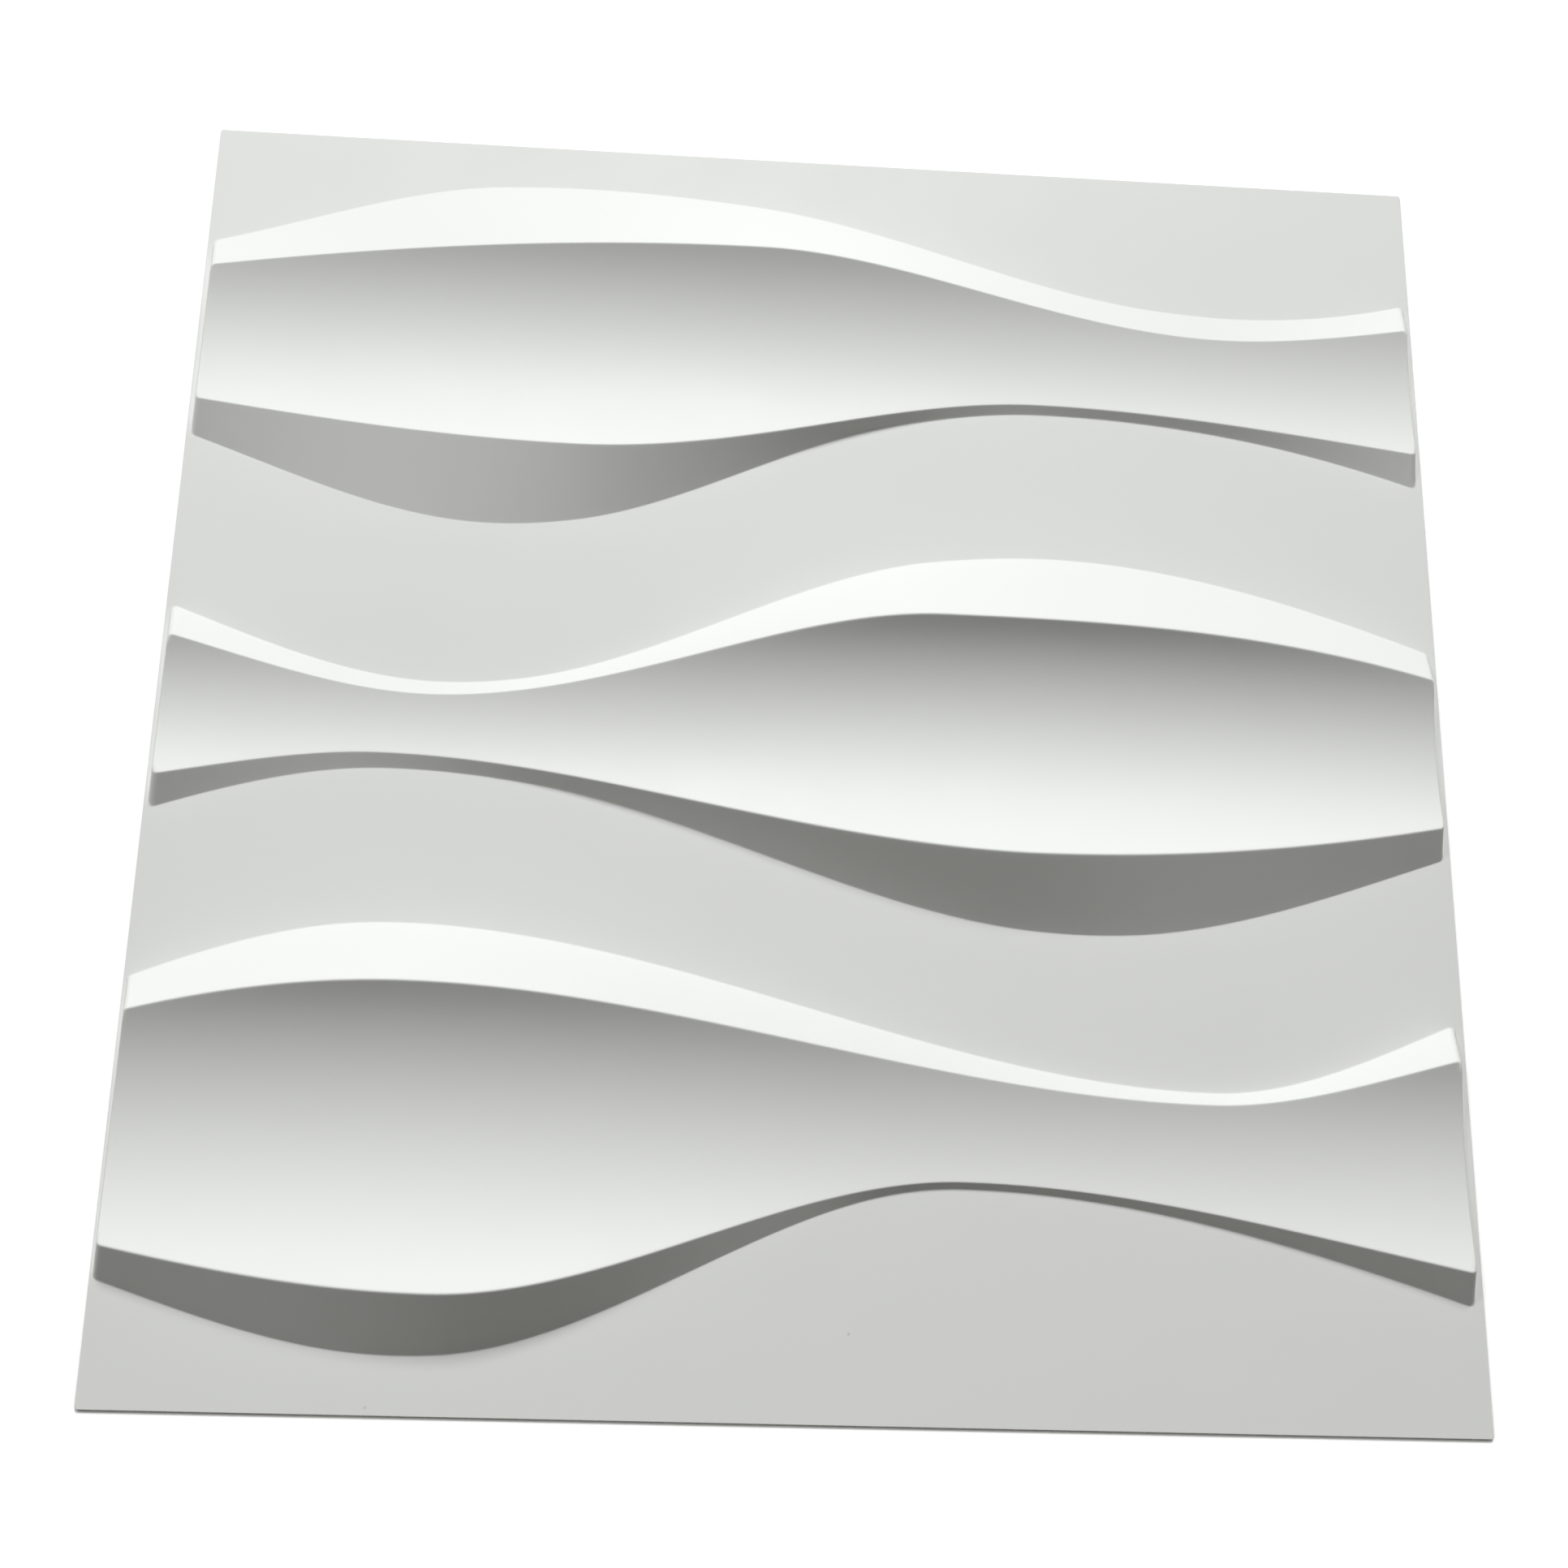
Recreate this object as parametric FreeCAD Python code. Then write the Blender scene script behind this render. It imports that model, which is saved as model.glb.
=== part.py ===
import FreeCAD, Part
import math
import os
from collections import namedtuple

# Moulded wall panel: one thin PVC sheet with three hollow wave ribs that run from side to side.
# Across a rib the sheet leaves the flat field, climbs a flank to a crest, dips into a scoop, rises to a
# second crest and comes down another flank. The scoop is a straight trough of one radius, so a crest is
# high where it swings away from the trough's axis (the belly) and low where it swings in (the neck).
# Lengths are millimetres. X runs across the panel, Y up the wall, Z out of the wall. The origin is the
# middle of the back face.

# Sheet
panel_width = 500.0
panel_height = 500.0
sheet_thickness = 1.0
panel_corner_radius = 1.0

# Rib ends and edges
end_border = 2.6            # flat strip left at each side, between a rib's end and the panel's edge
end_draft_angle = 20.0      # lean of the end walls, degrees from upright
end_corner_radius = 2.5     # rounding between an end wall and a flank
crest_radius = 0.8          # rounding of the crests
foot_radius = 1.0           # rounding where a rib meets the flat field

# Top rib. A crest is given by its distance from the scoop's axis at its belly, its neck and the panel's
# side edge (seam). A spread is the plan width of the flank below that crest, in the same way.
top_axis_y = 155.0
top_scoop_radius = 90.0
top_scoop_floor = 1.8       # height of the scoop's lowest line above the flat field

top_upper_crest_belly_x = -24.0
top_upper_crest_belly = 45.7
top_upper_crest_neck_x = 169.0
top_upper_crest_neck = 20.1
top_upper_crest_seam = 28.5
top_upper_spread_belly_x = -133.0
top_upper_spread_belly = 33.6
top_upper_spread_neck_x = 143.0
top_upper_spread_neck = 12.6
top_upper_spread_seam = 14.4

top_lower_crest_belly_x = -94.0
top_lower_crest_belly = 43.9
top_lower_crest_neck_x = 90.0
top_lower_crest_neck = 12.5
top_lower_crest_seam = 28.5
top_lower_spread_belly_x = -139.0
top_lower_spread_belly = 30.9
top_lower_spread_neck_x = 35.0
top_lower_spread_neck = 3.7
top_lower_spread_seam = 12.8

# Middle rib
mid_axis_y = 0.0
mid_scoop_radius = 69.0
mid_scoop_floor = 2.0

mid_upper_crest_belly_x = 49.0
mid_upper_crest_belly = 45.5
mid_upper_crest_neck_x = -147.0
mid_upper_crest_neck = 9.7
mid_upper_crest_seam = 29.1
mid_upper_spread_belly_x = 98.0
mid_upper_spread_belly = 31.6
mid_upper_spread_neck_x = -114.0
mid_upper_spread_neck = 5.4
mid_upper_spread_seam = 13.7

mid_lower_crest_belly_x = 87.0
mid_lower_crest_belly = 46.3
mid_lower_crest_neck_x = -164.0
mid_lower_crest_neck = 14.1
mid_lower_crest_seam = 27.4
mid_lower_spread_belly_x = 121.0
mid_lower_spread_belly = 28.1
mid_lower_spread_neck_x = -109.0
mid_lower_spread_neck = 4.9
mid_lower_spread_seam = 11.5

# Bottom rib
low_axis_y = -155.0
low_scoop_radius = 92.0
low_scoop_floor = 1.8

low_upper_crest_belly_x = -147.0
low_upper_crest_belly = 54.1
low_upper_crest_neck_x = 152.0
low_upper_crest_neck = 19.4
low_upper_crest_seam = 39.9
low_upper_spread_belly_x = -162.0
low_upper_spread_belly = 22.9
low_upper_spread_neck_x = 159.0
low_upper_spread_neck = 4.3
low_upper_spread_seam = 13.3

low_lower_crest_belly_x = -129.0
low_lower_crest_belly = 52.6
low_lower_crest_neck_x = 58.0
low_lower_crest_neck = 10.8
low_lower_crest_seam = 38.8
low_lower_spread_belly_x = -152.0
low_lower_spread_belly = 22.8
low_lower_spread_neck_x = 54.0
low_lower_spread_neck = 2.4
low_lower_spread_seam = 12.6

# How finely the ribs are drawn
section_count = 28          # cross-sections along a rib
cut_overrun = 1.6           # how far a flank runs past its crest before the scoop cuts it

Wave = namedtuple("Wave", "belly_x belly neck_x neck seam")
Flank = namedtuple("Flank", "side crest spread")
Rib = namedtuple("Rib", "axis_y scoop_radius scoop_floor upper lower")

TOP_RIB = Rib(
    top_axis_y, top_scoop_radius, top_scoop_floor,
    Flank(1.0,
          Wave(top_upper_crest_belly_x, top_upper_crest_belly, top_upper_crest_neck_x,
               top_upper_crest_neck, top_upper_crest_seam),
          Wave(top_upper_spread_belly_x, top_upper_spread_belly, top_upper_spread_neck_x,
               top_upper_spread_neck, top_upper_spread_seam)),
    Flank(-1.0,
          Wave(top_lower_crest_belly_x, top_lower_crest_belly, top_lower_crest_neck_x,
               top_lower_crest_neck, top_lower_crest_seam),
          Wave(top_lower_spread_belly_x, top_lower_spread_belly, top_lower_spread_neck_x,
               top_lower_spread_neck, top_lower_spread_seam)))
MID_RIB = Rib(
    mid_axis_y, mid_scoop_radius, mid_scoop_floor,
    Flank(1.0,
          Wave(mid_upper_crest_belly_x, mid_upper_crest_belly, mid_upper_crest_neck_x,
               mid_upper_crest_neck, mid_upper_crest_seam),
          Wave(mid_upper_spread_belly_x, mid_upper_spread_belly, mid_upper_spread_neck_x,
               mid_upper_spread_neck, mid_upper_spread_seam)),
    Flank(-1.0,
          Wave(mid_lower_crest_belly_x, mid_lower_crest_belly, mid_lower_crest_neck_x,
               mid_lower_crest_neck, mid_lower_crest_seam),
          Wave(mid_lower_spread_belly_x, mid_lower_spread_belly, mid_lower_spread_neck_x,
               mid_lower_spread_neck, mid_lower_spread_seam)))
LOW_RIB = Rib(
    low_axis_y, low_scoop_radius, low_scoop_floor,
    Flank(1.0,
          Wave(low_upper_crest_belly_x, low_upper_crest_belly, low_upper_crest_neck_x,
               low_upper_crest_neck, low_upper_crest_seam),
          Wave(low_upper_spread_belly_x, low_upper_spread_belly, low_upper_spread_neck_x,
               low_upper_spread_neck, low_upper_spread_seam)),
    Flank(-1.0,
          Wave(low_lower_crest_belly_x, low_lower_crest_belly, low_lower_crest_neck_x,
               low_lower_crest_neck, low_lower_crest_seam),
          Wave(low_lower_spread_belly_x, low_lower_spread_belly, low_lower_spread_neck_x,
               low_lower_spread_neck, low_lower_spread_seam)))

RIBS = (TOP_RIB, MID_RIB, LOW_RIB)


def hermite(x, x0, y0, slope0, x1, y1, slope1):
    """Cubic from (x0, y0) to (x1, y1) with the given end slopes."""
    span = x1 - x0
    s = (x - x0) / span
    start = (2.0 * s ** 3 - 3.0 * s ** 2 + 1.0) * y0 + (s ** 3 - 2.0 * s ** 2 + s) * span * slope0
    finish = (3.0 * s ** 2 - 2.0 * s ** 3) * y1 + (s ** 3 - s ** 2) * span * slope1
    return start + finish


def wave_at(wave, x):
    """Height of a wave that is level at its belly and neck and runs on smoothly into the next panel."""
    left, right = sorted([(wave.belly_x, wave.belly), (wave.neck_x, wave.neck)])
    edge = panel_width / 2.0
    before = edge - right[0]
    after = edge + left[0]
    bend = (wave.seam - right[1]) / before ** 2 + (left[1] - wave.seam) / after ** 2
    slope = 1.5 * bend / (1.0 / before + 1.0 / after)
    if x < left[0]:
        return hermite(x, -edge, wave.seam, slope, left[0], left[1], 0.0)
    if x < right[0]:
        return hermite(x, left[0], left[1], 0.0, right[0], right[1], 0.0)
    return hermite(x, right[0], right[1], 0.0, edge, wave.seam, slope)


def flank_points(rib, flank, x, base_z, sink, overrun):
    """Two ends of a flank's line at x. It runs on by `sink` below its foot and `overrun` past its crest."""
    reach = wave_at(flank.crest, x)
    spread = wave_at(flank.spread, x)
    dip = math.sqrt(rib.scoop_radius ** 2 - reach ** 2)
    height = rib.scoop_floor + rib.scoop_radius - dip
    low = -sink / height
    high = 1.0 + overrun / height
    points = []
    for share in (low, high):
        y = rib.axis_y + flank.side * (reach + spread * (1.0 - share))
        points.append(FreeCAD.Vector(x, y, base_z + height * share))
    return points


def shared_edges(faces, others):
    """Edges where a face of one group meets a face of the other."""
    return [e for f in faces for e in f.Edges for g in others for k in g.Edges if e.isSame(k)]


def scoop_faces(solid, rib):
    """Faces of a rib that lie on its scoop."""
    return [f for f in solid.Faces
            if f.Surface.TypeId == "Part::GeomCylinder" and abs(f.Surface.Radius - rib.scoop_radius) < 1e-6]


def rib_solid(rib, base_z, end_x, corner_radius):
    """One rib standing on the level base_z, with its scoop cut and its ends leaning in from end_x."""
    sink = sheet_thickness / 2.0
    wires = []
    for i in range(section_count):
        x = panel_width * (i / (section_count - 1) - 0.5)
        lower_foot, lower_top = flank_points(rib, rib.lower, x, base_z, sink, cut_overrun)
        upper_foot, upper_top = flank_points(rib, rib.upper, x, base_z, sink, cut_overrun)
        wires.append(Part.makePolygon([lower_foot, lower_top, upper_top, upper_foot, lower_foot]))
    block = Part.makeLoft(wires, True, False)

    axis_z = base_z + rib.scoop_floor + rib.scoop_radius
    start = FreeCAD.Vector(-panel_width, rib.axis_y, axis_z)
    scoop = Part.makeCylinder(rib.scoop_radius, 2.0 * panel_width, start, FreeCAD.Vector(1, 0, 0))

    low_z = base_z - sheet_thickness
    lean = math.tan(math.radians(end_draft_angle))
    low_x = end_x + (base_z - low_z) * lean
    high_x = end_x - (axis_z - base_z) * lean
    near_y = -panel_height
    ends = Part.makePolygon([FreeCAD.Vector(-low_x, near_y, low_z), FreeCAD.Vector(low_x, near_y, low_z),
                             FreeCAD.Vector(high_x, near_y, axis_z), FreeCAD.Vector(-high_x, near_y, axis_z),
                             FreeCAD.Vector(-low_x, near_y, low_z)])
    keep = Part.Face(ends).extrude(FreeCAD.Vector(0, 2.0 * panel_height, 0))
    solid = block.common(keep).cut(scoop)

    end_walls = [f for f in solid.Faces if f.Surface.TypeId == "Part::GeomPlane"]
    crests = shared_edges(scoop_faces(solid, rib), solid.Faces)
    ruled = [f for f in solid.Faces if f.Surface.TypeId == "Part::GeomBSplineSurface"]
    flanks = [f for f in ruled if any(e.isSame(c) for e in f.Edges for c in crests)]
    return solid.makeFillet(corner_radius, shared_edges(end_walls, flanks))


def sheet():
    """Flat sheet with rounded corners, back face on Z = 0."""
    plate = Part.makeBox(panel_width, panel_height, sheet_thickness,
                         FreeCAD.Vector(-panel_width / 2.0, -panel_height / 2.0, 0.0))
    corners = [e for e in plate.Edges if abs(e.tangentAt(e.FirstParameter).z) > 0.99]
    return plate.makeFillet(panel_corner_radius, corners)


def foot_edges(body):
    """Closed lines on the flat field where the ribs stand."""
    field = [f for f in body.Faces
             if f.Surface.TypeId == "Part::GeomPlane" and abs(f.CenterOfMass.z - sheet_thickness) < 1e-6]
    return [e for f in field for w in f.Wires if not w.isSame(f.OuterWire) for e in w.Edges]


def wall_panel():
    """Sheet with its ribs, hollowed so that one sheet thickness is left everywhere."""
    draft = math.radians(end_draft_angle)
    outer_x = panel_width / 2.0 - end_border
    inner_x = outer_x + sheet_thickness * math.tan(draft) - sheet_thickness / math.cos(draft)
    inner_corner_radius = end_corner_radius - sheet_thickness
    body = sheet()
    for rib in RIBS:
        solid = rib_solid(rib, sheet_thickness, outer_x, end_corner_radius)
        crests = [e for f in scoop_faces(solid, rib) for e in f.Edges]
        body = body.fuse(solid.makeFillet(crest_radius, crests))
    body = body.makeFillet(foot_radius, foot_edges(body))
    for rib in RIBS:
        body = body.cut(rib_solid(rib, 0.0, inner_x, inner_corner_radius))
    return body


os.makedirs("parts", exist_ok=True)
panel = wall_panel()
panel.exportStep("parts/wall_panel.step")
print("solids", len(panel.Solids), "valid", panel.isValid(), "volume", round(panel.Volume))
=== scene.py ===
"""Square wall panel, moulded from one thin white sheet with three hollow wave ribs."""
import math

import bpy
import numpy as np
from bpy.props import FloatProperty, FloatVectorProperty, IntProperty, PointerProperty
from bpy.types import Operator, Panel, PropertyGroup
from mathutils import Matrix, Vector


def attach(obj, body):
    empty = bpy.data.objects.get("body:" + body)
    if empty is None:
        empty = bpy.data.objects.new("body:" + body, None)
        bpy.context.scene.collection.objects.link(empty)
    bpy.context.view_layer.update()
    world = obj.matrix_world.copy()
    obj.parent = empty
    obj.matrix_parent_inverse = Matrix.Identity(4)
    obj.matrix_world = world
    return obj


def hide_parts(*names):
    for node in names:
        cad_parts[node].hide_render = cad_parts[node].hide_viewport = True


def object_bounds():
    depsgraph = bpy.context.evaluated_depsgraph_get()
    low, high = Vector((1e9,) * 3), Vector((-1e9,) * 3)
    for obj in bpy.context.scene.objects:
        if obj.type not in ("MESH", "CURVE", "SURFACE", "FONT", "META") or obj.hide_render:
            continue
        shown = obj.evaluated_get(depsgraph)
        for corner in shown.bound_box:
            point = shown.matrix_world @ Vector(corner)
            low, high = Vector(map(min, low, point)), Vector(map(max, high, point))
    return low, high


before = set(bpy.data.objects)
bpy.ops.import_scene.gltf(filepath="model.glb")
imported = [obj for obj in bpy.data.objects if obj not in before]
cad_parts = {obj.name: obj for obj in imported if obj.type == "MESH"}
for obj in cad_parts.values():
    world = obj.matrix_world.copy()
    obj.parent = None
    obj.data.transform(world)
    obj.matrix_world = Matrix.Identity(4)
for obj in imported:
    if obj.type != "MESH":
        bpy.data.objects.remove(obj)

bl_info = {
    "name": "Wave rib wall panel",
    "version": (1, 0, 0),
    "blender": (4, 5, 0),
    "location": "3D View > Sidebar > Wall panel",
    "description": "Dresses a moulded wall panel with wave ribs and sets it on a pale floor",
    "category": "Object",
}

CAD_BOX = [list(corner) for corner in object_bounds()]
PANEL_WIDTH = CAD_BOX[1][0] - CAD_BOX[0][0]
PANEL_HEIGHT = CAD_BOX[1][1] - CAD_BOX[0][1]

# Distances in metres at which rows and columns lie close to a crest or a foot
CLOSE_STEPS = np.array([0.0, 0.0002, 0.00045, 0.0009])
# Rows or columns of a strip that lie close to its two lines
CLOSE_COUNT = 2 * len(CLOSE_STEPS) - 1
# Most of a narrow strip that the close ones at one of its lines take up
CLOSE_SHARE = 0.45
# Rounds in which the columns and the rows at a rib's end settle together
SETTLING_ROUNDS = 4
# Distance in metres between the two heights that give a flank's slope along X
SLOPE_STEP = 0.0001
# Difference of height in metres over which a flank's rounding turns into an end wall's
END_BLEND = 0.004
# Least reach in metres of a rounded corner
LEAST_REACH = 1e-6
# Angles of the steps around the front edge
EDGE_TURN = np.radians([15.0, 30.0, 45.0, 60.0, 75.0])
# Share of the edge radius and of the thickness that the turn under the back takes
BACK_TURN = 0.06
# Rays that each point of the floor sends out to find the panel's edge
SHADE_SAMPLES = 16
# Width of the camera's sensor in millimetres
SENSOR_WIDTH = 36.0
# Distance in metres from which the camera sees
NEAR_CLIP = 0.01


def length(name, description, default):
    """A length in metres."""
    return FloatProperty(name=name, description=description, default=default, unit="LENGTH", precision=5)


def share(name, description, default):
    """A plain number without a unit."""
    return FloatProperty(name=name, description=description, default=default, precision=4)


def count(name, description, default):
    """A whole number."""
    return IntProperty(name=name, description=description, default=default)


def power(name, description, default):
    """The power of a lamp in watts."""
    return FloatProperty(name=name, description=description, default=default, unit="POWER", precision=3)


def colour(name, description, default):
    """A linear colour."""
    return FloatVectorProperty(name=name, description=description, default=default, size=3, subtype="COLOR")


def place_of(name, description, default):
    """A place in metres."""
    return FloatVectorProperty(name=name, description=description, default=default, size=3,
                               subtype="TRANSLATION", precision=4)


def wave_line(name, description, belly_x, belly, neck_x, neck, seam):
    """A wave along X in metres: place and size at its belly, place and size at its neck, size at the seam."""
    return FloatVectorProperty(name=name, description=description, size=5, unit="LENGTH", precision=5,
                               default=(belly_x, belly, neck_x, neck, seam))


def crest_line(side, *wave_sizes):
    """The wave of a crest: its reach from the scoop's axis."""
    return wave_line(side + " crest", "Reach of the " + side.lower() + " crest from the axis", *wave_sizes)


def spread_line(side, *wave_sizes):
    """The wave of a flank: its width from crest to foot."""
    return wave_line(side + " spread", "Width of the " + side.lower() + " flank", *wave_sizes)


class SheetSettings(PropertyGroup):
    """Sizes of the sheet that the ribs are moulded in."""
    width: length("Width", "Side of the square panel along the ribs", PANEL_WIDTH)
    height: length("Height", "Side of the square panel across the ribs", PANEL_HEIGHT)
    thickness: length("Thickness", "Thickness of the sheet", 0.001)
    corner_radius: length("Corner radius", "Radius of the panel's four corners", 0.001)
    edge_radius: length("Edge radius", "Rounding of the front edge all around the panel", 0.00025)
    left_border: length("Left border", "Width of the flat strip outside the ribs' left ends", 0.00177)
    right_border: length("Right border", "Width of the flat strip outside the ribs' right ends", 0.00287)
    end_skew: share("End skew", "Drift of the rib ends to the right, per metre up the panel", 0.0027)
    end_draft: FloatProperty(name="End draft", description="Lean of a rib's end wall from upright",
                             default=math.radians(17.0), subtype="ANGLE")
    end_corner_radius: length("End corner radius", "Rounding where a flank meets the end wall", 0.0025)
    crest_radius: length("Crest radius", "Rounding along the crests", 0.0008)
    foot_radius: length("Foot radius", "Rounding where a rib meets the flat field", 0.001)


class TopRibSettings(PropertyGroup):
    """The rib nearest to the panel's top edge."""
    axis_y: length("Axis", "Place of the scoop's axis", 0.155)
    scoop_radius: length("Scoop radius", "Radius of the straight scoop", 0.09)
    scoop_floor: length("Scoop floor", "Height of the scoop's floor over the field", 0.0018)
    upper_crest: crest_line("Upper", -0.024, 0.0457, 0.169, 0.0201, 0.0285)
    upper_spread: spread_line("Upper", -0.133, 0.0336, 0.143, 0.0126, 0.0144)
    lower_crest: crest_line("Lower", -0.094, 0.0439, 0.090, 0.0125, 0.0285)
    lower_spread: spread_line("Lower", -0.139, 0.0309, 0.035, 0.0037, 0.0128)


class MidRibSettings(PropertyGroup):
    """The rib through the panel's middle."""
    axis_y: length("Axis", "Place of the scoop's axis", 0.0)
    scoop_radius: length("Scoop radius", "Radius of the straight scoop", 0.069)
    scoop_floor: length("Scoop floor", "Height of the scoop's floor over the field", 0.002)
    upper_crest: crest_line("Upper", 0.049, 0.0455, -0.147, 0.0097, 0.0291)
    upper_spread: spread_line("Upper", 0.098, 0.0316, -0.114, 0.0054, 0.0137)
    lower_crest: crest_line("Lower", 0.087, 0.0463, -0.164, 0.0141, 0.0274)
    lower_spread: spread_line("Lower", 0.121, 0.0281, -0.109, 0.0049, 0.0115)


class LowRibSettings(PropertyGroup):
    """The rib nearest to the panel's bottom edge."""
    axis_y: length("Axis", "Place of the scoop's axis", -0.155)
    scoop_radius: length("Scoop radius", "Radius of the straight scoop", 0.092)
    scoop_floor: length("Scoop floor", "Height of the scoop's floor over the field", 0.0018)
    upper_crest: crest_line("Upper", -0.147, 0.0541, 0.152, 0.0194, 0.0399)
    upper_spread: spread_line("Upper", -0.162, 0.0229, 0.159, 0.0043, 0.0133)
    lower_crest: crest_line("Lower", -0.129, 0.0526, 0.058, 0.0108, 0.0388)
    lower_spread: spread_line("Lower", -0.152, 0.0228, 0.054, 0.0024, 0.0126)


class MeshSettings(PropertyGroup):
    """How finely the sheet's surface is divided."""
    columns: count("Columns", "Columns between the rib ends", 150)
    wall_columns: count("Wall columns", "Columns across each end wall", 4)
    shoulder_columns: count("Shoulder columns", "Columns inside each end wall", 9)
    least_wall: length("Least wall", "Least distance between the columns at a wall's foot and crest", 0.0005)
    end_reach: length("End reach", "Distance from the panel's side to which the close columns go", 0.0105)
    field_rows: count("Field rows", "Rows across each flat field", 3)
    flank_rows: count("Flank rows", "Rows across each flank", 7)
    scoop_rows: count("Scoop rows", "Rows across each scoop", 20)


class PvcSettings(PropertyGroup):
    """Colour and finish of the white sheet."""
    white: colour("White", "Colour of the sheet", (0.803, 0.806, 0.799))
    warm: colour("Warm tint", "Colour of the faint clouds in the sheet", (0.793, 0.795, 0.781))
    clouds: length("Clouds", "Size of the faint clouds", 0.09)
    speck: colour("Speck", "Colour of the two small specks", (0.62, 0.62, 0.60))
    speck_radius: length("Speck radius", "Radius of a speck", 0.0009)
    right_speck: place_of("Right speck", "Place of the speck below the low rib", (0.0174, -0.2193, 0.001))
    left_speck: place_of("Left speck", "Place of the speck at the bottom edge", (-0.1511, -0.2473, 0.001))
    roughness: share("Roughness", "Gloss of the matte sheet, where 1 has none", 0.55)
    gloss_change: share("Gloss change", "How far the gloss wanders to either side", 0.06)
    gloss_patches: length("Gloss patches", "Size of the patches of one gloss", 0.03)
    shine: share("Shine", "Strength of the sheet's weak reflection", 0.25)
    ripple: length("Ripple", "Size of the soft ripple that forming leaves", 0.055)
    ripple_depth: length("Ripple depth", "Depth of the soft ripple", 0.00025)
    grain: length("Grain", "Size of the fine surface grain", 0.0006)
    grain_depth: length("Grain depth", "Depth of the fine surface grain", 0.00002)
    grain_strength: share("Grain strength", "Share of the grain's depth that shows", 0.25)


class StageSettings(PropertyGroup):
    """Floor, light and camera."""
    floor_size: length("Floor size", "Side of the square floor", 6.0)
    floor_drop: length("Floor drop", "Gap between the floor and the panel's back", 0.0002)
    floor_colour: colour("Floor colour", "Colour of the floor", (0.98, 0.98, 0.98))
    floor_glow: share("Floor glow", "Plain white that the camera sees on top of the lit floor", 0.36)
    lit_radius: length("Lit radius", "Distance from which the plain white grows, as the light fades", 0.4)
    # Painted contact shade: near the panel's edge ambient occlusion takes the floor's plain white away, so a
    # narrow band along the edge is darker
    painted_shade_reach: length("Edge shade", "How near the panel's edge the floor's plain white fades", 0.003)
    painted_shade_full: share("Shade full", "Openness of the floor up to which it has no plain white", 0.65)
    painted_shade_none: share("Shade none", "Openness of the floor from which its plain white is whole", 0.95)
    key_place: place_of("Key place", "Place of the main lamp, behind the panel's top edge", (0.0, 3.12, 2.81))
    key_power: power("Key power", "Power of the main lamp", 167.0)
    key_size: length("Key size", "Width of the main lamp", 1.1)
    side_place: place_of("Side place", "Place of the second lamp, at the left", (-2.46, 2.07, 2.70))
    side_power: power("Side power", "Power of the second lamp", 36.0)
    side_size: length("Side size", "Width of the second lamp", 1.1)
    key_tint: colour("Key tint", "Colour of the main and the second lamp", (0.985, 1.0, 0.99))
    fill_place: place_of("Fill place", "Place of the weak lamp in front of the bottom edge", (0.0, -0.6, 1.0))
    fill_power: power("Fill power", "Power of the weak lamp", 0.7)
    fill_size: length("Fill size", "Width of the weak lamp", 0.7)
    fill_tint: colour("Fill tint", "Colour of the weak lamp", (1.0, 0.94, 0.82))
    camera_place: place_of("Camera place", "Place of the camera", (-0.0577, -0.1583, 0.6023))
    camera_turn: FloatVectorProperty(
        name="Camera turn", description="Turn of the camera", size=3, subtype="EULER",
        default=(math.radians(13.29), math.radians(-3.05), math.radians(1.60)))
    lens: share("Lens", "Focal length in millimetres on a 36 mm sensor", 37.03)
    shift_x: share("Shift X", "Sideways shift of the frame", 0.0328)
    shift_y: share("Shift Y", "Upward shift of the frame", -0.0083)


class PanelSettings(PropertyGroup):
    """All settings of the wall panel."""
    sheet: PointerProperty(type=SheetSettings)
    top_rib: PointerProperty(type=TopRibSettings)
    mid_rib: PointerProperty(type=MidRibSettings)
    low_rib: PointerProperty(type=LowRibSettings)
    mesh: PointerProperty(type=MeshSettings)
    pvc: PointerProperty(type=PvcSettings)
    stage: PointerProperty(type=StageSettings)


def wave(line, x, width):
    """Size of a wave line at x. Cubic spans join seam, belly, neck and seam again. They are level at the
    belly and the neck, and at the seam they share the slope that makes the bend run on from tile to tile."""
    belly_x, belly, neck_x, neck, seam = line
    (left_x, left), (right_x, right) = sorted([(belly_x, belly), (neck_x, neck)])
    before = width / 2 - right_x
    after = left_x + width / 2
    slope = 1.5 * ((seam - right) / before**2 + (left - seam) / after**2) / (1 / before + 1 / after)
    spans = [(-width / 2, seam, slope, left_x, left, 0.0),
             (left_x, left, 0.0, right_x, right, 0.0),
             (right_x, right, 0.0, width / 2, seam, slope)]
    pieces = []
    for x0, y0, m0, x1, y1, m1 in spans:
        s = np.clip((x - x0) / (x1 - x0), 0.0, 1.0)
        pieces.append((2 * s**3 - 3 * s**2 + 1) * y0 + (s**3 - 2 * s**2 + s) * (x1 - x0) * m0
                      + (3 * s**2 - 2 * s**3) * y1 + (s**3 - s**2) * (x1 - x0) * m1)
    return np.where(x < left_x, pieces[0], np.where(x < right_x, pieces[1], pieces[2]))


def ribs_of(settings):
    """The three ribs from the panel's bottom edge to its top edge."""
    return [settings.low_rib, settings.mid_rib, settings.top_rib]


def rib_sides(rib):
    """The crest and spread lines of a rib, with the sign of the side that they lie on."""
    return [(-1.0, rib.lower_crest, rib.lower_spread), (1.0, rib.upper_crest, rib.upper_spread)]


def scoop_height(rib, away):
    """Height of the scoop over the field: a cylinder's underside, floor + R - sqrt(R2 - away2)."""
    inside = np.clip(rib.scoop_radius**2 - away**2, 0.0, None)
    return rib.scoop_floor + rib.scoop_radius - np.sqrt(inside)


def flank_height(rib, side, crest, spread, x, y, width):
    """Height of a flank over the field: from its crest on the scoop it falls evenly to its foot."""
    reach = wave(crest, x, width)
    return scoop_height(rib, reach) * (1 - (side * (y - rib.axis_y) - reach) / wave(spread, x, width))


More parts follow.
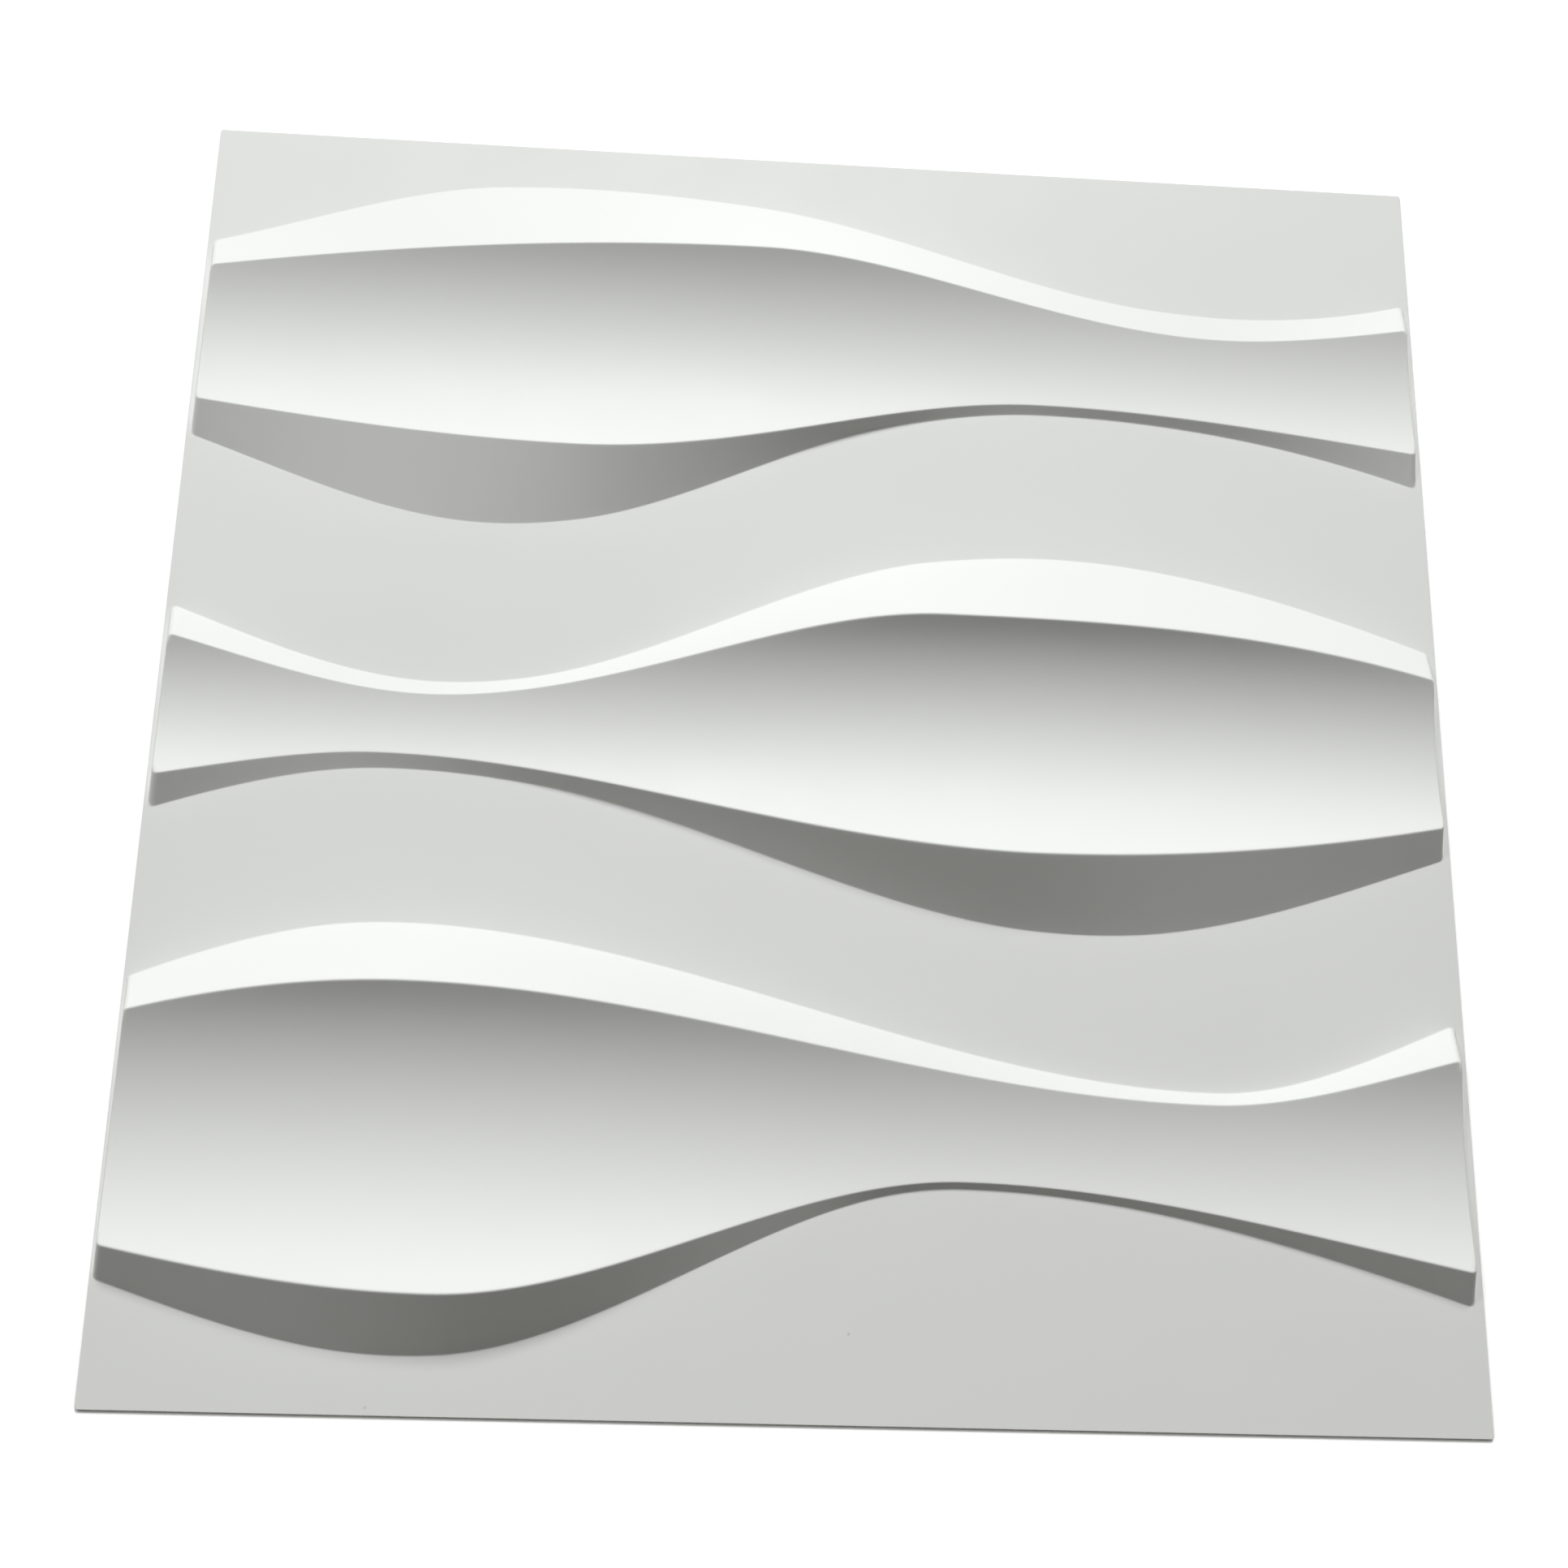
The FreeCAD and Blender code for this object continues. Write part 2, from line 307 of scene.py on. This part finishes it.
def end_height(sheet, x, y, inset):
    """Height of the end walls over the field: they rise evenly from their feet, which lie `inset` further in
    and drift a little to the right up the panel."""
    across = x - sheet.end_skew * y
    from_left = sheet.width / 2 - sheet.left_border - inset + across
    from_right = sheet.width / 2 - sheet.right_border - inset - across
    return np.minimum(from_left, from_right) / math.tan(sheet.end_draft)


def open_height(settings, x, y):
    """Height of the ribs over the field as if they had no end walls: the lower of scoop and flanks."""
    height = np.zeros_like(x)
    for rib in ribs_of(settings):
        lowest = scoop_height(rib, y - rib.axis_y)
        for side, crest, spread in rib_sides(rib):
            lowest = np.minimum(lowest, flank_height(rib, side, crest, spread, x, y, settings.sheet.width))
        height += np.clip(lowest, 0.0, None)
    return height


def soft_min(a, b, reach):
    """The lower of two heights. Where they come within `reach` of each other, a parabola rounds the corner."""
    return np.minimum(a, b) - np.clip(reach - np.abs(a - b), 0.0, None)**2 / (4 * reach)


def corner_reach(radius, slope_a, slope_b):
    """Reach of the parabola that rounds the corner between two slopes with about this radius."""
    mean = (slope_a + slope_b) / 2
    return np.maximum(radius * (slope_a - slope_b)**2 / (2 * (1 + mean**2)**1.5), LEAST_REACH)


def rolled_edge(first, first_slope, second, second_slope, radius):
    """Height over the edge between two sloping faces, rounded by a ball of this radius that rolls along
    inside it. The ball's centre runs where both faces meet once they are moved in by the radius, and its top
    counts between the two lines on which it touches the faces. Outside them the lower face is left."""
    (first_x, first_y), (second_x, second_y) = first_slope, second_slope
    size = np.hypot(first_x - second_x, first_y - second_y)
    across_x, across_y = (first_x - second_x) / size, (first_y - second_y) / size
    first_stretch = np.sqrt(1 + first_x**2 + first_y**2)
    second_stretch = np.sqrt(1 + second_x**2 + second_y**2)
    moved_in = first - radius * first_stretch
    offset = (moved_in - second + radius * second_stretch) / size
    first_climb = first_x * across_x + first_y * across_y
    second_climb = second_x * across_x + second_y * across_y
    along = first_y * across_x - first_x * across_y
    over = np.sqrt(np.clip(radius**2 - offset**2, 0.0, None) * (1 + along**2))
    past_first = offset > -radius * first_climb / first_stretch
    before_second = offset < -radius * second_climb / second_stretch
    rolled = moved_in - first_climb * offset + over
    return np.where(past_first & before_second, rolled, np.minimum(first, second))


def rib_height(sheet, rib, x, y, inset, corner_radius, rounded):
    """Height of a rib over the field at each x, y. It is the lower of the scoop and the sides, which are the
    two flanks and the end walls with a rolled corner between them, and never less than the field. If it is
    `rounded`, parabolas round the crests and the feet."""
    scoop = scoop_height(rib, y - rib.axis_y)
    steep = 1 / math.tan(sheet.end_draft)
    end = end_height(sheet, x, y, inset)
    end_slope = (-np.sign(x) * steep, np.sign(x) * steep * sheet.end_skew)
    end_crest = corner_reach(sheet.crest_radius, 0.0, -steep)
    walls = []
    for side, crest, spread in rib_sides(rib):
        reach = wave(crest, x, sheet.width)
        fall = -scoop_height(rib, reach) / wave(spread, x, sheet.width)
        flank = flank_height(rib, side, crest, spread, x, y, sheet.width)
        ahead = flank_height(rib, side, crest, spread, x + SLOPE_STEP, y, sheet.width)
        flank_slope = ((ahead - flank) / SLOPE_STEP, side * fall)
        wall = rolled_edge(flank, flank_slope, end, end_slope, corner_radius)
        scoop_slope = reach / np.sqrt(rib.scoop_radius**2 - reach**2)
        flank_crest = corner_reach(sheet.crest_radius, scoop_slope, fall)
        on_end = np.clip(0.5 + (flank - end) / END_BLEND, 0.0, 1.0)
        crest_reach = flank_crest + on_end * (end_crest - flank_crest)
        foot_slope = -fall + on_end * (steep + fall)
        walls.append((wall, crest_reach, foot_slope))
    lower, upper = walls
    on_upper = upper[0] < lower[0]
    sides, crest_reach, foot_slope = (np.where(on_upper, b, a) for a, b in zip(lower, upper))
    if not rounded:
        return np.maximum(np.minimum(scoop, sides), 0.0)
    height = soft_min(scoop, sides, crest_reach)
    return -soft_min(-height, 0.0 * height, corner_reach(sheet.foot_radius, foot_slope, 0.0))


def row_lines(settings, x):
    """The lines that the rows of the surface follow, from the bottom edge to the top edge: each rib's foot,
    crest, crest and foot."""
    sheet = settings.sheet
    half = sheet.height / 2 - sheet.edge_radius
    lines = [np.full_like(x, -half)]
    for rib in ribs_of(settings):
        (_, low_crest, low_spread), (_, high_crest, high_spread) = rib_sides(rib)
        low = wave(low_crest, x, sheet.width)
        high = wave(high_crest, x, sheet.width)
        lines.append(rib.axis_y - low - wave(low_spread, x, sheet.width))
        lines.append(rib.axis_y - low)
        lines.append(rib.axis_y + high)
        lines.append(rib.axis_y + high + wave(high_spread, x, sheet.width))
    lines.append(np.full_like(x, half))
    return lines


def places_between(first, second, inner_count):
    """Places across the strip between two lines. Some lie close to each line, where the corners are rounded,
    and `inner_count` lie evenly between them. The place on the second line is left to the next strip."""
    inner = np.linspace(0.0, 1.0, inner_count + 2)[1:-1]
    share_of_gap = np.concatenate([0.0 * CLOSE_STEPS, inner, np.ones(len(CLOSE_STEPS) - 1)])
    close_step = np.concatenate([CLOSE_STEPS, CLOSE_STEPS[-1] * (1 - 2 * inner), -CLOSE_STEPS[:0:-1]])
    gap = second - first
    return first + share_of_gap * gap + close_step * np.minimum(1.0, CLOSE_SHARE * gap / CLOSE_STEPS[-1])


def strip_rows(settings):
    """The rows of each strip between two row lines, as a slice, and how many of them aren't close to a line."""
    mesh = settings.mesh
    inner_counts = [mesh.field_rows]
    for _ in ribs_of(settings):
        inner_counts += [mesh.flank_rows, mesh.scoop_rows, mesh.flank_rows, mesh.field_rows]
    stops = np.cumsum([inner + CLOSE_COUNT for inner in inner_counts])
    return [(slice(stop - inner - CLOSE_COUNT, stop), inner) for stop, inner in zip(stops, inner_counts)]


def rows_at(settings, x):
    """y of the grid's points, for the x of each: the arrays hold one row of numbers for each grid column."""
    lines = row_lines(settings, x)
    strips = [places_between(below[:, rows], above[:, rows], inner)
              for below, above, (rows, inner) in zip(lines[:-1], lines[1:], strip_rows(settings))]
    return np.concatenate(strips + [lines[-1][:, -1:]], axis=1)


def end_columns(settings, side, border):
    """x of the columns at one end of the ribs, from the panel's side inwards. They follow the foot and the
    crest of the end walls. The crest lies further in where a rib is higher, so the columns and the rows are
    worked out from each other in a few rounds."""
    sheet, mesh = settings.sheet, settings.mesh
    row_count = strip_rows(settings)[-1][0].stop + 1
    foot = np.full((1, row_count), sheet.width / 2 - border)
    depth = np.zeros_like(foot)
    for _ in range(SETTLING_ROUNDS):
        x = side * (foot - depth)
        y = rows_at(settings, x)
        foot = sheet.width / 2 - border + side * sheet.end_skew * y
        depth = np.maximum(math.tan(sheet.end_draft) * open_height(settings, x, y), mesh.least_wall)
    edge = sheet.width / 2 - sheet.edge_radius
    foot_in = (edge - foot).T
    lines = [np.zeros_like(foot_in), foot_in, foot_in + depth.T, np.full_like(foot_in, mesh.end_reach)]
    inner_counts = [0, mesh.wall_columns, mesh.shoulder_columns]
    strips = [places_between(*strip) for strip in zip(lines[:-1], lines[1:], inner_counts)]
    return side * (edge - np.concatenate(strips + lines[-1:], axis=1).T)


def sheet_grid(settings):
    """x and y of the surface's grid, one row of the arrays for each column along X."""
    left = end_columns(settings, -1.0, settings.sheet.left_border)
    right = end_columns(settings, 1.0, settings.sheet.right_border)
    between = np.linspace(0.0, 1.0, settings.mesh.columns)[1:-1, None]
    x = np.concatenate([left, left[-1] + between * (right[-1] - left[-1]), right[::-1]])
    return x, rows_at(settings, x)


def round_corners(x, y, half_x, half_y, radius):
    """Draws the square corners of the grid into quarter discs, u' = u sqrt(1 - v2/2) and the same for v."""
    u = np.clip((np.abs(x) - half_x + radius) / radius, 0.0, 1.0)
    v = np.clip((np.abs(y) - half_y + radius) / radius, 0.0, 1.0)
    new_x = np.sign(x) * (np.abs(x) - radius * u * (1 - np.sqrt(1 - v**2 / 2)))
    new_y = np.sign(y) * (np.abs(y) - radius * v * (1 - np.sqrt(1 - u**2 / 2)))
    return new_x, new_y


def rim_rings(sheet):
    """Steps of the rim from the front edge to the back edge, as a push outwards and a height: a quarter round
    down the front edge, then an upright and a short turn under the back."""
    radius = sheet.edge_radius
    low = BACK_TURN * sheet.thickness
    fall = radius / sheet.thickness * (1 - np.cos(EDGE_TURN))
    push = [*radius * np.sin(EDGE_TURN), radius, (1 - BACK_TURN) * radius]
    height = [*low + (sheet.thickness - low) * (1 - fall), low, 0.0]
    return list(zip(push, height))


def sheet_faces(columns, rows, ring_count):
    """Quads of the front and the back grid, and of the rim's rings between their edges, as indices of one
    list of vertices, and the indices around the front grid's edge."""
    index = np.arange(columns * rows).reshape(columns, rows)
    cells = [index[:-1, :-1], index[1:, :-1], index[1:, 1:], index[:-1, 1:]]
    front = np.stack(cells, axis=-1).reshape(-1, 4)
    back = front[:, ::-1] + columns * rows
    edge = np.concatenate([index[:-1, 0], index[-1, :-1], index[:0:-1, -1], index[0, :0:-1]])
    first = 2 * columns * rows + np.arange(len(edge))
    rings = [edge] + [first + k * len(edge) for k in range(ring_count)] + [edge + columns * rows]
    rim = [np.stack([a, b, np.roll(b, -1), np.roll(a, -1)], axis=-1) for a, b in zip(rings[:-1], rings[1:])]
    return np.concatenate([front, back] + rim), edge


def sheet_vertices(settings, x, y, edge):
    """Points of the front surface, of the back surface one sheet below it, and of the rim's rings."""
    sheet = settings.sheet
    radius = sheet.edge_radius
    inset = sheet.thickness * (1 / math.cos(sheet.end_draft) - math.tan(sheet.end_draft))
    inner_radius = sheet.end_corner_radius - sheet.thickness
    front = np.full_like(x, sheet.thickness)
    back = np.zeros_like(x)
    for rib in ribs_of(settings):
        front += rib_height(sheet, rib, x, y, 0.0, sheet.end_corner_radius, True)
        back += rib_height(sheet, rib, x, y, inset, inner_radius, False)
    half_x, half_y = sheet.width / 2 - radius, sheet.height / 2 - radius
    x, y = round_corners(x, y, half_x, half_y, sheet.corner_radius - radius)
    top = np.stack([x, y, front], axis=-1).reshape(-1, 3)
    under = np.stack([x, y, back], axis=-1).reshape(-1, 3)
    line = top[edge][:, :2]
    along = np.roll(line, -1, axis=0) - np.roll(line, 1, axis=0)
    out = np.stack([along[:, 1], -along[:, 0]], axis=-1) / np.linalg.norm(along, axis=1)[:, None]
    rings = [np.column_stack([line + push * out, np.full(len(line), z)]) for push, z in rim_rings(sheet)]
    return np.concatenate([top, under] + rings)


def mesh_of_quads(name, vertices, quads):
    """A smooth mesh from an array of points and an array of four-cornered faces."""
    mesh = bpy.data.meshes.new(name)
    mesh.vertices.add(len(vertices))
    mesh.vertices.foreach_set("co", vertices.astype(np.float32).ravel())
    mesh.loops.add(quads.size)
    mesh.loops.foreach_set("vertex_index", quads.astype(np.int32).ravel())
    mesh.polygons.add(len(quads))
    mesh.polygons.foreach_set("loop_start", np.arange(0, quads.size, 4, dtype=np.int32))
    mesh.polygons.foreach_set("use_smooth", np.ones(len(quads), dtype=bool))
    mesh.update(calc_edges=True)
    if mesh.validate():
        raise RuntimeError(name + " has faces that don't hold together")
    return mesh


def link_new(name, data):
    """A new object in the scene."""
    piece = bpy.data.objects.new(name, data)
    bpy.context.scene.collection.objects.link(piece)
    return piece


def new_material(name):
    """An empty node material with its output and a Principled shader."""
    material = bpy.data.materials.new(name)
    material.use_nodes = True
    nodes = material.node_tree.nodes
    nodes.clear()
    output = nodes.new("ShaderNodeOutputMaterial")
    shader = nodes.new("ShaderNodeBsdfPrincipled")
    material.node_tree.links.new(shader.outputs["BSDF"], output.inputs["Surface"])
    return material, nodes, material.node_tree.links, shader


def noise(nodes, links, place, size, detail):
    """Noise on Object coordinates whose features are about `size` metres."""
    texture = nodes.new("ShaderNodeTexNoise")
    texture.inputs["Scale"].default_value = 1 / size
    texture.inputs["Detail"].default_value = detail
    links.new(place.outputs["Object"], texture.inputs["Vector"])
    return texture.outputs["Fac"]


def map_range(nodes, links, value, start, stop, low, high):
    """Takes the span from `start` to `stop` evenly to the span from `low` to `high`, and never past it."""
    node = nodes.new("ShaderNodeMapRange")
    node.inputs["From Min"].default_value = start
    node.inputs["From Max"].default_value = stop
    node.inputs["To Min"].default_value = low
    node.inputs["To Max"].default_value = high
    links.new(value, node.inputs["Value"])
    return node


def combine(nodes, links, operation, first, second):
    """Two values put together by one operation."""
    node = nodes.new("ShaderNodeMath")
    node.operation = operation
    links.new(first, node.inputs[0])
    links.new(second, node.inputs[1])
    return node.outputs["Value"]


def colour_mix(nodes, links, factor, second):
    """A mix of two colours by `factor`. Its first colour is left to set."""
    node = nodes.new("ShaderNodeMix")
    node.data_type = "RGBA"
    node.inputs["B"].default_value = (*second, 1.0)
    links.new(factor, node.inputs["Factor"])
    return node


def bump(nodes, links, height, strength, depth):
    """A bump of this depth in metres, shown with this strength."""
    node = nodes.new("ShaderNodeBump")
    node.inputs["Strength"].default_value = strength
    node.inputs["Distance"].default_value = depth
    links.new(height, node.inputs["Height"])
    return node


def speck_mask(nodes, links, place, centre, radius):
    """A soft dot around a place on the sheet: 1 at its middle, 0 from the radius on."""
    distance = nodes.new("ShaderNodeVectorMath")
    distance.operation = "DISTANCE"
    distance.inputs[1].default_value = centre
    links.new(place.outputs["Object"], distance.inputs[0])
    dot = map_range(nodes, links, distance.outputs["Value"], 0.0, radius, 1.0, 0.0)
    dot.interpolation_type = "SMOOTHSTEP"
    return dot.outputs["Result"]


def matte_white_pvc(pvc):
    """Matte white sheet: faint warm clouds, two specks, an uneven gloss, fine grain and a shallow ripple."""
    material, nodes, links, shader = new_material("matte_white_pvc")
    place = nodes.new("ShaderNodeTexCoord")
    tint = colour_mix(nodes, links, noise(nodes, links, place, pvc.clouds, detail=3.0), pvc.warm)
    tint.inputs["A"].default_value = (*pvc.white, 1.0)
    dots = [speck_mask(nodes, links, place, centre, pvc.speck_radius)
            for centre in (pvc.right_speck, pvc.left_speck)]
    marked = colour_mix(nodes, links, combine(nodes, links, "MAXIMUM", *dots), pvc.speck)
    links.new(tint.outputs["Result"], marked.inputs["A"])
    links.new(marked.outputs["Result"], shader.inputs["Base Color"])
    patches = noise(nodes, links, place, pvc.gloss_patches, detail=2.0)
    smoother, rougher = pvc.roughness - pvc.gloss_change, pvc.roughness + pvc.gloss_change
    gloss = map_range(nodes, links, patches, 0.0, 1.0, smoother, rougher)
    links.new(gloss.outputs["Result"], shader.inputs["Roughness"])
    soft = noise(nodes, links, place, pvc.ripple, detail=1.0)
    ripple = bump(nodes, links, soft, strength=1.0, depth=pvc.ripple_depth)
    fine = noise(nodes, links, place, pvc.grain, detail=2.0)
    grain = bump(nodes, links, fine, strength=pvc.grain_strength, depth=pvc.grain_depth)
    links.new(ripple.outputs["Normal"], grain.inputs["Normal"])
    links.new(grain.outputs["Normal"], shader.inputs["Normal"])
    shader.inputs["Specular IOR Level"].default_value = pvc.shine
    return material


def seen_directly(nodes, links):
    """1 for camera rays and for mirrored or refracted rays, 0 for rays that carry light to the sheet."""
    rays = nodes.new("ShaderNodeLightPath").outputs
    first = combine(nodes, links, "MAXIMUM", rays["Is Camera Ray"], rays["Is Glossy Ray"])
    return combine(nodes, links, "MAXIMUM", first, rays["Is Transmission Ray"])


def pale_floor(stage):
    """White floor. The camera sees some plain white on top of the lit floor, growing to full white far from the
    panel. Near the panel's edge ambient occlusion takes the plain white away. This paints a narrow band of
    contact shade there, and the lamp's real shadow shows through it."""
    material, nodes, links, shader = new_material("pale_floor")
    shader.inputs["Base Color"].default_value = (*stage.floor_colour, 1.0)
    shader.inputs["Roughness"].default_value = 1.0
    shader.inputs["Specular IOR Level"].default_value = 0.0
    place = nodes.new("ShaderNodeTexCoord")
    away = nodes.new("ShaderNodeVectorMath")
    away.operation = "LENGTH"
    links.new(place.outputs["Object"], away.inputs[0])
    plain = map_range(nodes, links, away.outputs["Value"], stage.lit_radius, 2 * stage.lit_radius,
                      stage.floor_glow, 1.0)
    # Painted contact shade: ambient occlusion fades the plain white near the panel's edge, darkening a narrow
    # band of floor there
    shade = nodes.new("ShaderNodeAmbientOcclusion")
    shade.samples = SHADE_SAMPLES
    shade.inputs["Distance"].default_value = stage.painted_shade_reach
    glow = map_range(nodes, links, shade.outputs["AO"], stage.painted_shade_full, stage.painted_shade_none, 0.0, 1.0)
    links.new(plain.outputs["Result"], glow.inputs["To Max"])
    strength = combine(nodes, links, "MULTIPLY", seen_directly(nodes, links), glow.outputs["Result"])
    shader.inputs["Emission Color"].default_value = (1.0, 1.0, 1.0, 1.0)
    links.new(strength, shader.inputs["Emission Strength"])
    return material


def white_world():
    """White all around for the camera. It lights nothing."""
    world = bpy.data.worlds.new("white_world")
    world.use_nodes = True
    nodes = world.node_tree.nodes
    links = world.node_tree.links
    nodes.clear()
    output = nodes.new("ShaderNodeOutputWorld")
    background = nodes.new("ShaderNodeBackground")
    background.inputs["Color"].default_value = (1.0, 1.0, 1.0, 1.0)
    links.new(seen_directly(nodes, links), background.inputs["Strength"])
    links.new(background.outputs["Background"], output.inputs["Surface"])
    return world


def soft_lamp(name, place, watts, size, tint):
    """A round soft lamp that faces the middle of the panel."""
    data = bpy.data.lights.new(name, "AREA")
    data.shape = "DISK"
    data.size = size
    data.energy = watts
    data.color = tint
    lamp = link_new(name, data)
    lamp.location = place
    lamp.rotation_euler = (-Vector(place)).to_track_quat("-Z", "Y").to_euler()


class WALLPANEL_OT_moulded_sheet(Operator):
    """Makes the moulded sheet with its three wave ribs"""
    bl_idname = "wall_panel.moulded_sheet"
    bl_label = "Moulded sheet"

    def execute(self, context):
        settings = context.scene.wall_panel
        x, y = sheet_grid(settings)
        quads, edge = sheet_faces(*x.shape, len(rim_rings(settings.sheet)))
        mesh = mesh_of_quads("moulded_sheet", sheet_vertices(settings, x, y, edge), quads)
        piece = link_new("moulded_sheet", mesh)
        mesh.materials.append(matte_white_pvc(settings.pvc))
        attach(piece, "root")
        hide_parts("wall_panel")
        return {"FINISHED"}


class WALLPANEL_OT_stage(Operator):
    """Sets the floor, the light and the camera"""
    bl_idname = "wall_panel.stage"
    bl_label = "Floor, light and camera"

    def execute(self, context):
        stage = context.scene.wall_panel.stage
        half = stage.floor_size / 2
        corners = np.array([(-half, -half), (half, -half), (half, half), (-half, half)])
        vertices = np.column_stack([corners, np.full(4, -stage.floor_drop)])
        floor = link_new("floor", mesh_of_quads("floor", vertices, np.array([[0, 1, 2, 3]])))
        floor.data.materials.append(pale_floor(stage))
        context.scene.world = white_world()
        soft_lamp("key_lamp", stage.key_place, stage.key_power, stage.key_size, stage.key_tint)
        soft_lamp("side_lamp", stage.side_place, stage.side_power, stage.side_size, stage.key_tint)
        soft_lamp("fill_lamp", stage.fill_place, stage.fill_power, stage.fill_size, stage.fill_tint)
        camera = link_new("camera", bpy.data.cameras.new("camera"))
        camera.location = stage.camera_place
        camera.rotation_euler = stage.camera_turn
        camera.data.sensor_width = SENSOR_WIDTH
        camera.data.lens = stage.lens
        camera.data.shift_x = stage.shift_x
        camera.data.shift_y = stage.shift_y
        camera.data.clip_start = NEAR_CLIP
        context.scene.camera = camera
        context.scene.view_settings.view_transform = "Standard"
        return {"FINISHED"}


class WALLPANEL_PT_sidebar(Panel):
    """Lists the panel's settings and the steps that make it"""
    bl_idname = "WALLPANEL_PT_sidebar"
    bl_label = "Wall panel"
    bl_space_type = "VIEW_3D"
    bl_region_type = "UI"
    bl_category = "Wall panel"

    def draw(self, context):
        settings = context.scene.wall_panel
        for group in (settings.sheet, settings.top_rib, settings.mid_rib, settings.low_rib, settings.mesh,
                      settings.pvc, settings.stage):
            box = self.layout.box()
            for name in type(group).__annotations__:
                box.prop(group, name)
        for operator in (WALLPANEL_OT_moulded_sheet, WALLPANEL_OT_stage):
            self.layout.operator(operator.bl_idname)


CLASSES = (SheetSettings, TopRibSettings, MidRibSettings, LowRibSettings, MeshSettings, PvcSettings,
           StageSettings, PanelSettings, WALLPANEL_OT_moulded_sheet, WALLPANEL_OT_stage, WALLPANEL_PT_sidebar)


def register():
    """Makes the settings, the operators and the sidebar known."""
    for item in CLASSES:
        bpy.utils.register_class(item)
    bpy.types.Scene.wall_panel = PointerProperty(type=PanelSettings)


def unregister():
    """Takes them away again."""
    del bpy.types.Scene.wall_panel
    for item in reversed(CLASSES):
        bpy.utils.unregister_class(item)


def main():
    """Makes the sheet and the stage."""
    register()
    bpy.ops.wall_panel.moulded_sheet()
    bpy.ops.wall_panel.stage()


if __name__ == "__main__":
    main()
